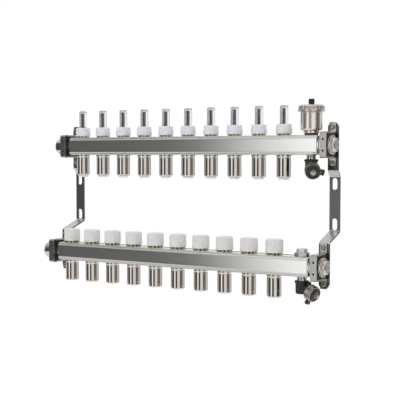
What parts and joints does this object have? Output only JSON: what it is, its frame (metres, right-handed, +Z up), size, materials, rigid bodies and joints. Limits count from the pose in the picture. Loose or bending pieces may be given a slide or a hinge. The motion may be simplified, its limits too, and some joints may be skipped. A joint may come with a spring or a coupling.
{
  "type": "underfloor heating manifold",
  "caption": "Wall-mounted floor heating manifold: a supply bar with flow meters over a return bar with valve caps, on two brackets, with air vent and drain valves.",
  "frame": {"origin": "centre of the four wall slots, on the wall plane", "axes": "+Z up, +X along the bars towards the vent and drains, +Y into the wall, so the room side is -Y"},
  "size_m": [0.6115, 0.0975, 0.357],
  "materials": {
    "stainless_bar": "satin drawn stainless steel",
    "nickel_sleeve": "polished nickel plate on brass",
    "white_dust_plug": "soft translucent polyethylene",
    "brass_insert": "machined brass",
    "clear_tube": "clear moulded polycarbonate tube",
    "white_collar": "translucent white moulded plastic",
    "dark_needle": "dark moulded plastic rod",
    "white_hand_cap": "white ribbed moulded plastic",
    "steel_pin": "turned stainless steel",
    "zinc_steel_strip": "zinc-plated steel strip",
    "zinc_steel_strap": "zinc-plated pressed steel",
    "rubber_liner": "black moulded rubber",
    "zinc_screw": "zinc-plated fasteners",
    "nickel_plug": "nickel plate on turned brass",
    "nickel_vent": "warm nickel plate, satin",
    "black_vent_cap": "black moulded plastic",
    "black_drain_plastic": "black glass-filled plastic",
    "nickel_drain_cap": "knurled nickel ring round a black moulded face"
  },
  "bodies": {
    "frame": {"supply_bar": "stainless_bar", "return_bar": "stainless_bar", "supply_outlets": "nickel_sleeve", "return_outlets": "nickel_sleeve", "outlet_dust_plugs": "white_dust_plug", "flow_meter_bodies": "brass_insert", "sight_tubes": "clear_tube", "return_valve_inserts": "brass_insert", "wall_brackets": "zinc_steel_strip", "clamp_straps": "zinc_steel_strap", "clamp_liners": "rubber_liner", "clamp_screws": "zinc_screw", "blanking_plugs": "nickel_plug", "air_vent_body": "nickel_vent", "air_vent_lid": "nickel_vent"},
    "flow_collar_01": {"flow_collar_01": "white_collar"},
    "flow_needle_01": {"flow_needle_01": "dark_needle"},
    "return_pin_01": {"return_pin_01": "steel_pin"},
    "return_cap_01": {"return_cap_01": "white_hand_cap"},
    "flow_collar_02": {"flow_collar_02": "white_collar"},
    "flow_needle_02": {"flow_needle_02": "dark_needle"},
    "return_pin_02": {"return_pin_02": "steel_pin"},
    "return_cap_02": {"return_cap_02": "white_hand_cap"},
    "flow_collar_03": {"flow_collar_03": "white_collar"},
    "flow_needle_03": {"flow_needle_03": "dark_needle"},
    "return_pin_03": {"return_pin_03": "steel_pin"},
    "return_cap_03": {"return_cap_03": "white_hand_cap"},
    "flow_collar_04": {"flow_collar_04": "white_collar"},
    "flow_needle_04": {"flow_needle_04": "dark_needle"},
    "return_pin_04": {"return_pin_04": "steel_pin"},
    "return_cap_04": {"return_cap_04": "white_hand_cap"},
    "flow_collar_05": {"flow_collar_05": "white_collar"},
    "flow_needle_05": {"flow_needle_05": "dark_needle"},
    "return_pin_05": {"return_pin_05": "steel_pin"},
    "return_cap_05": {"return_cap_05": "white_hand_cap"},
    "flow_collar_06": {"flow_collar_06": "white_collar"},
    "flow_needle_06": {"flow_needle_06": "dark_needle"},
    "return_pin_06": {"return_pin_06": "steel_pin"},
    "return_cap_06": {"return_cap_06": "white_hand_cap"},
    "flow_collar_07": {"flow_collar_07": "white_collar"},
    "flow_needle_07": {"flow_needle_07": "dark_needle"},
    "return_pin_07": {"return_pin_07": "steel_pin"},
    "return_cap_07": {"return_cap_07": "white_hand_cap"},
    "flow_collar_08": {"flow_collar_08": "white_collar"},
    "flow_needle_08": {"flow_needle_08": "dark_needle"},
    "return_pin_08": {"return_pin_08": "steel_pin"},
    "return_cap_08": {"return_cap_08": "white_hand_cap"},
    "flow_collar_09": {"flow_collar_09": "white_collar"},
    "flow_needle_09": {"flow_needle_09": "dark_needle"},
    "return_pin_09": {"return_pin_09": "steel_pin"},
    "return_cap_09": {"return_cap_09": "white_hand_cap"},
    "flow_collar_10": {"flow_collar_10": "white_collar"},
    "flow_needle_10": {"flow_needle_10": "dark_needle"},
    "return_pin_10": {"return_pin_10": "steel_pin"},
    "return_cap_10": {"return_cap_10": "white_hand_cap"},
    "supply_drain_body": {"supply_drain_body": "black_drain_plastic"},
    "supply_drain_cap": {"supply_drain_cap": "nickel_drain_cap"},
    "return_drain_body": {"return_drain_body": "black_drain_plastic"},
    "return_drain_cap": {"return_drain_cap": "nickel_drain_cap"},
    "air_vent_cap": {"air_vent_cap": "black_vent_cap"}
  },
  "joints": [
    {"name": "flow_collar_turn_01", "type": "hinge", "parent": "frame", "child": "flow_collar_01", "pos_m": [-0.2495, -0.0365, 0.13], "axis": [0, 0, 1], "range_deg": [-90, 630]},
    {"name": "flow_needle_slide_01", "type": "slide", "parent": "frame", "child": "flow_needle_01", "axis": [0, 0, 1], "range_m": [-0.015, 0], "stiffness_N_per_m": 20, "springref_m": 0.01},
    {"name": "return_pin_slide_01", "type": "slide", "parent": "frame", "child": "return_pin_01", "axis": [0, 0, 1], "range_m": [-0.003, 0]},
    {"name": "return_cap_turn_01", "type": "hinge", "parent": "return_pin_01", "child": "return_cap_01", "pos_m": [-0.2495, -0.0745, -0.075], "axis": [0, 0, 1], "range_deg": [-720, 0]},
    {"name": "flow_collar_turn_02", "type": "hinge", "parent": "frame", "child": "flow_collar_02", "pos_m": [-0.1995, -0.0365, 0.13], "axis": [0, 0, 1], "range_deg": [-90, 630]},
    {"name": "flow_needle_slide_02", "type": "slide", "parent": "frame", "child": "flow_needle_02", "axis": [0, 0, 1], "range_m": [-0.015, 0], "stiffness_N_per_m": 20, "springref_m": 0.01},
    {"name": "return_pin_slide_02", "type": "slide", "parent": "frame", "child": "return_pin_02", "axis": [0, 0, 1], "range_m": [-0.003, 0]},
    {"name": "return_cap_turn_02", "type": "hinge", "parent": "return_pin_02", "child": "return_cap_02", "pos_m": [-0.1995, -0.0745, -0.075], "axis": [0, 0, 1], "range_deg": [-720, 0]},
    {"name": "flow_collar_turn_03", "type": "hinge", "parent": "frame", "child": "flow_collar_03", "pos_m": [-0.1495, -0.0365, 0.13], "axis": [0, 0, 1], "range_deg": [-90, 630]},
    {"name": "flow_needle_slide_03", "type": "slide", "parent": "frame", "child": "flow_needle_03", "axis": [0, 0, 1], "range_m": [-0.015, 0], "stiffness_N_per_m": 20, "springref_m": 0.01},
    {"name": "return_pin_slide_03", "type": "slide", "parent": "frame", "child": "return_pin_03", "axis": [0, 0, 1], "range_m": [-0.003, 0]},
    {"name": "return_cap_turn_03", "type": "hinge", "parent": "return_pin_03", "child": "return_cap_03", "pos_m": [-0.1495, -0.0745, -0.075], "axis": [0, 0, 1], "range_deg": [-720, 0]},
    {"name": "flow_collar_turn_04", "type": "hinge", "parent": "frame", "child": "flow_collar_04", "pos_m": [-0.0995, -0.0365, 0.13], "axis": [0, 0, 1], "range_deg": [-90, 630]},
    {"name": "flow_needle_slide_04", "type": "slide", "parent": "frame", "child": "flow_needle_04", "axis": [0, 0, 1], "range_m": [-0.015, 0], "stiffness_N_per_m": 20, "springref_m": 0.01},
    {"name": "return_pin_slide_04", "type": "slide", "parent": "frame", "child": "return_pin_04", "axis": [0, 0, 1], "range_m": [-0.003, 0]},
    {"name": "return_cap_turn_04", "type": "hinge", "parent": "return_pin_04", "child": "return_cap_04", "pos_m": [-0.0995, -0.0745, -0.075], "axis": [0, 0, 1], "range_deg": [-720, 0]},
    {"name": "flow_collar_turn_05", "type": "hinge", "parent": "frame", "child": "flow_collar_05", "pos_m": [-0.0495, -0.0365, 0.13], "axis": [0, 0, 1], "range_deg": [-90, 630]},
    {"name": "flow_needle_slide_05", "type": "slide", "parent": "frame", "child": "flow_needle_05", "axis": [0, 0, 1], "range_m": [-0.015, 0], "stiffness_N_per_m": 20, "springref_m": 0.01},
    {"name": "return_pin_slide_05", "type": "slide", "parent": "frame", "child": "return_pin_05", "axis": [0, 0, 1], "range_m": [-0.003, 0]},
    {"name": "return_cap_turn_05", "type": "hinge", "parent": "return_pin_05", "child": "return_cap_05", "pos_m": [-0.0495, -0.0745, -0.075], "axis": [0, 0, 1], "range_deg": [-720, 0]},
    {"name": "flow_collar_turn_06", "type": "hinge", "parent": "frame", "child": "flow_collar_06", "pos_m": [0.0005, -0.0365, 0.13], "axis": [0, 0, 1], "range_deg": [-90, 630]},
    {"name": "flow_needle_slide_06", "type": "slide", "parent": "frame", "child": "flow_needle_06", "axis": [0, 0, 1], "range_m": [-0.015, 0], "stiffness_N_per_m": 20, "springref_m": 0.01},
    {"name": "return_pin_slide_06", "type": "slide", "parent": "frame", "child": "return_pin_06", "axis": [0, 0, 1], "range_m": [-0.003, 0]},
    {"name": "return_cap_turn_06", "type": "hinge", "parent": "return_pin_06", "child": "return_cap_06", "pos_m": [0.0005, -0.0745, -0.075], "axis": [0, 0, 1], "range_deg": [-720, 0]},
    {"name": "flow_collar_turn_07", "type": "hinge", "parent": "frame", "child": "flow_collar_07", "pos_m": [0.0505, -0.0365, 0.13], "axis": [0, 0, 1], "range_deg": [-90, 630]},
    {"name": "flow_needle_slide_07", "type": "slide", "parent": "frame", "child": "flow_needle_07", "axis": [0, 0, 1], "range_m": [-0.015, 0], "stiffness_N_per_m": 20, "springref_m": 0.01},
    {"name": "return_pin_slide_07", "type": "slide", "parent": "frame", "child": "return_pin_07", "axis": [0, 0, 1], "range_m": [-0.003, 0]},
    {"name": "return_cap_turn_07", "type": "hinge", "parent": "return_pin_07", "child": "return_cap_07", "pos_m": [0.0505, -0.0745, -0.075], "axis": [0, 0, 1], "range_deg": [-720, 0]},
    {"name": "flow_collar_turn_08", "type": "hinge", "parent": "frame", "child": "flow_collar_08", "pos_m": [0.1005, -0.0365, 0.13], "axis": [0, 0, 1], "range_deg": [-90, 630]},
    {"name": "flow_needle_slide_08", "type": "slide", "parent": "frame", "child": "flow_needle_08", "axis": [0, 0, 1], "range_m": [-0.015, 0], "stiffness_N_per_m": 20, "springref_m": 0.01},
    {"name": "return_pin_slide_08", "type": "slide", "parent": "frame", "child": "return_pin_08", "axis": [0, 0, 1], "range_m": [-0.003, 0]},
    {"name": "return_cap_turn_08", "type": "hinge", "parent": "return_pin_08", "child": "return_cap_08", "pos_m": [0.1005, -0.0745, -0.075], "axis": [0, 0, 1], "range_deg": [-720, 0]},
    {"name": "flow_collar_turn_09", "type": "hinge", "parent": "frame", "child": "flow_collar_09", "pos_m": [0.1505, -0.0365, 0.13], "axis": [0, 0, 1], "range_deg": [-90, 630]},
    {"name": "flow_needle_slide_09", "type": "slide", "parent": "frame", "child": "flow_needle_09", "axis": [0, 0, 1], "range_m": [-0.015, 0], "stiffness_N_per_m": 20, "springref_m": 0.01},
    {"name": "return_pin_slide_09", "type": "slide", "parent": "frame", "child": "return_pin_09", "axis": [0, 0, 1], "range_m": [-0.003, 0]},
    {"name": "return_cap_turn_09", "type": "hinge", "parent": "return_pin_09", "child": "return_cap_09", "pos_m": [0.1505, -0.0745, -0.075], "axis": [0, 0, 1], "range_deg": [-720, 0]},
    {"name": "flow_collar_turn_10", "type": "hinge", "parent": "frame", "child": "flow_collar_10", "pos_m": [0.2005, -0.0365, 0.13], "axis": [0, 0, 1], "range_deg": [-90, 630]},
    {"name": "flow_needle_slide_10", "type": "slide", "parent": "frame", "child": "flow_needle_10", "axis": [0, 0, 1], "range_m": [-0.015, 0], "stiffness_N_per_m": 20, "springref_m": 0.01},
    {"name": "return_pin_slide_10", "type": "slide", "parent": "frame", "child": "return_pin_10", "axis": [0, 0, 1], "range_m": [-0.003, 0]},
    {"name": "return_cap_turn_10", "type": "hinge", "parent": "return_pin_10", "child": "return_cap_10", "pos_m": [0.2005, -0.0745, -0.075], "axis": [0, 0, 1], "range_deg": [-720, 0]},
    {"name": "supply_drain_swivel", "type": "hinge", "parent": "frame", "child": "supply_drain_body", "pos_m": [0.2535, -0.0365, 0.085], "axis": [0, 0, 1], "range_deg": [-120, 45]},
    {"name": "supply_drain_cap_turn", "type": "hinge", "parent": "supply_drain_body", "child": "supply_drain_cap", "pos_m": [0.2535, -0.0365, 0.0687], "axis": [0.4668, -0.8085, -0.3584], "continuous": true},
    {"name": "return_drain_swivel", "type": "hinge", "parent": "frame", "child": "return_drain_body", "pos_m": [0.2535, -0.0745, -0.125], "axis": [0, 0, 1], "range_deg": [-150, 5]},
    {"name": "return_drain_cap_turn", "type": "hinge", "parent": "return_drain_body", "child": "return_drain_cap", "pos_m": [0.2535, -0.0745, -0.1413], "axis": [0.9018, -0.2416, -0.3584], "continuous": true},
    {"name": "air_vent_cap_turn", "type": "hinge", "parent": "frame", "child": "air_vent_cap", "pos_m": [0.2535, -0.0365, 0.18], "axis": [0, 0, 1], "range_deg": [0, 720]}
  ],
  "couplings": [
    {"joint": "return_cap_turn_01", "follows": "return_pin_slide_01", "rad_per_m": 4188.8},
    {"joint": "return_cap_turn_02", "follows": "return_pin_slide_02", "rad_per_m": 4188.8},
    {"joint": "return_cap_turn_03", "follows": "return_pin_slide_03", "rad_per_m": 4188.8},
    {"joint": "return_cap_turn_04", "follows": "return_pin_slide_04", "rad_per_m": 4188.8},
    {"joint": "return_cap_turn_05", "follows": "return_pin_slide_05", "rad_per_m": 4188.8},
    {"joint": "return_cap_turn_06", "follows": "return_pin_slide_06", "rad_per_m": 4188.8},
    {"joint": "return_cap_turn_07", "follows": "return_pin_slide_07", "rad_per_m": 4188.8},
    {"joint": "return_cap_turn_08", "follows": "return_pin_slide_08", "rad_per_m": 4188.8},
    {"joint": "return_cap_turn_09", "follows": "return_pin_slide_09", "rad_per_m": 4188.8},
    {"joint": "return_cap_turn_10", "follows": "return_pin_slide_10", "rad_per_m": 4188.8}
  ]
}
